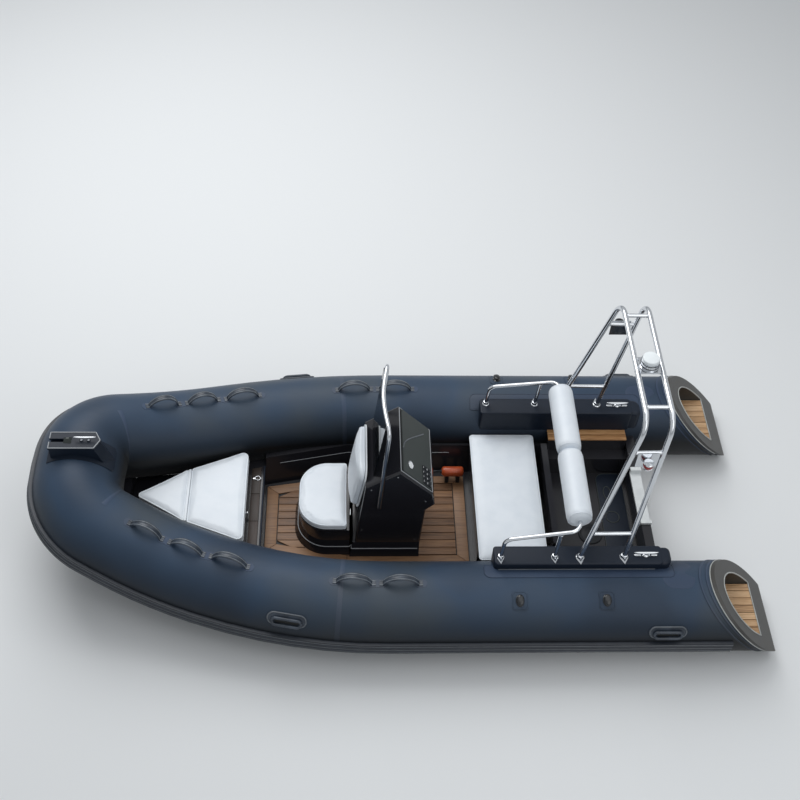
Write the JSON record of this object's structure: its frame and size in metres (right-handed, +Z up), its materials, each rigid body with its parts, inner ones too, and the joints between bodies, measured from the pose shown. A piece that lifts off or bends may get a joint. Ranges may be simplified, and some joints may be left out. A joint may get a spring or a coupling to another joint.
{
  "type": "rigid inflatable boat",
  "caption": "Rigid inflatable boat: V hull with one inflated collar, teak sole, console with screen, seat box, bench, stern arch and white cushions.",
  "frame": {"origin": "on the centreline, 2.3 m aft of the bow's tip, at the waterline of the empty boat afloat", "axes": "+X forward to the bow, +Y to port, +Z up"},
  "size_m": [4.6827, 2.142, 2.0429],
  "materials": {
    "tube_fabric": "satin",
    "end_moulding": "satin",
    "strake_rubber": "satin",
    "black_gelcoat": "gloss",
    "black_satin": "satin",
    "teak": "satin",
    "white_vinyl": "satin",
    "stainless": "polished",
    "grey_plastic": "satin",
    "white_plastic": "gloss",
    "smoked_screen": "gloss",
    "lens": "gloss",
    "orange_paint": "gloss"
  },
  "bodies": {
    "boat": {"collar": "tube_fabric", "tube_ends": "end_moulding", "tube_end_planks": "teak", "rub_strake": "strake_rubber", "hull_bottom": "black_gelcoat", "deck_moulding": "black_gelcoat", "stern_shelves": "black_gelcoat", "transom": "black_gelcoat", "transom_cap": "white_plastic", "floor_base": "strake_rubber", "floor_planks": "teak", "ledge_planks": "teak", "bow_step": "teak", "bow_locker": "black_gelcoat", "bow_fore_panel": "black_gelcoat", "bow_cushion_fore": "white_vinyl", "jockey_box": "black_gelcoat", "jockey_hinges": "stainless", "console": "black_gelcoat", "dash_panel": "black_satin", "dash_instruments": "black_satin", "seat_back_pad": "white_vinyl", "seat_back_shell": "grey_plastic", "windscreen_rail": "stainless", "windscreen": "smoked_screen", "bench_box": "black_gelcoat", "bench_cushion": "white_vinyl", "bench_panel": "black_gelcoat", "backrest_rail": "stainless", "backrest_rolls": "white_vinyl", "side_boxes": "black_satin", "arch": "stainless", "light_lens": "lens", "light_mounts": "stainless", "side_lights": "black_satin", "grab_handles": "end_moulding", "carry_handles": "end_moulding", "knobs": "end_moulding", "bow_block": "black_gelcoat", "cleats": "stainless", "motor_pad": "black_satin", "well_hatch": "black_satin", "fire_bottle": "orange_paint", "bottle_saddles": "black_satin", "stern_eyes": "stainless"},
    "bow_lid": {"bow_locker_lid": "black_gelcoat", "bow_cushion_aft": "white_vinyl"},
    "seat_lid": {"jockey_lid": "black_gelcoat", "jockey_cushion": "white_vinyl"}
  },
  "joints": [
    {"name": "bow_locker_hinge", "type": "hinge", "parent": "boat", "child": "bow_lid", "pos_m": [1.338, 0, 0.362], "axis": [0, 1, 0], "range_deg": [0, 80]},
    {"name": "seat_lid_hinge", "type": "hinge", "parent": "boat", "child": "seat_lid", "pos_m": [0.2787, 0, 0.311], "axis": [0, -1, 0], "range_deg": [0, 50]}
  ]
}
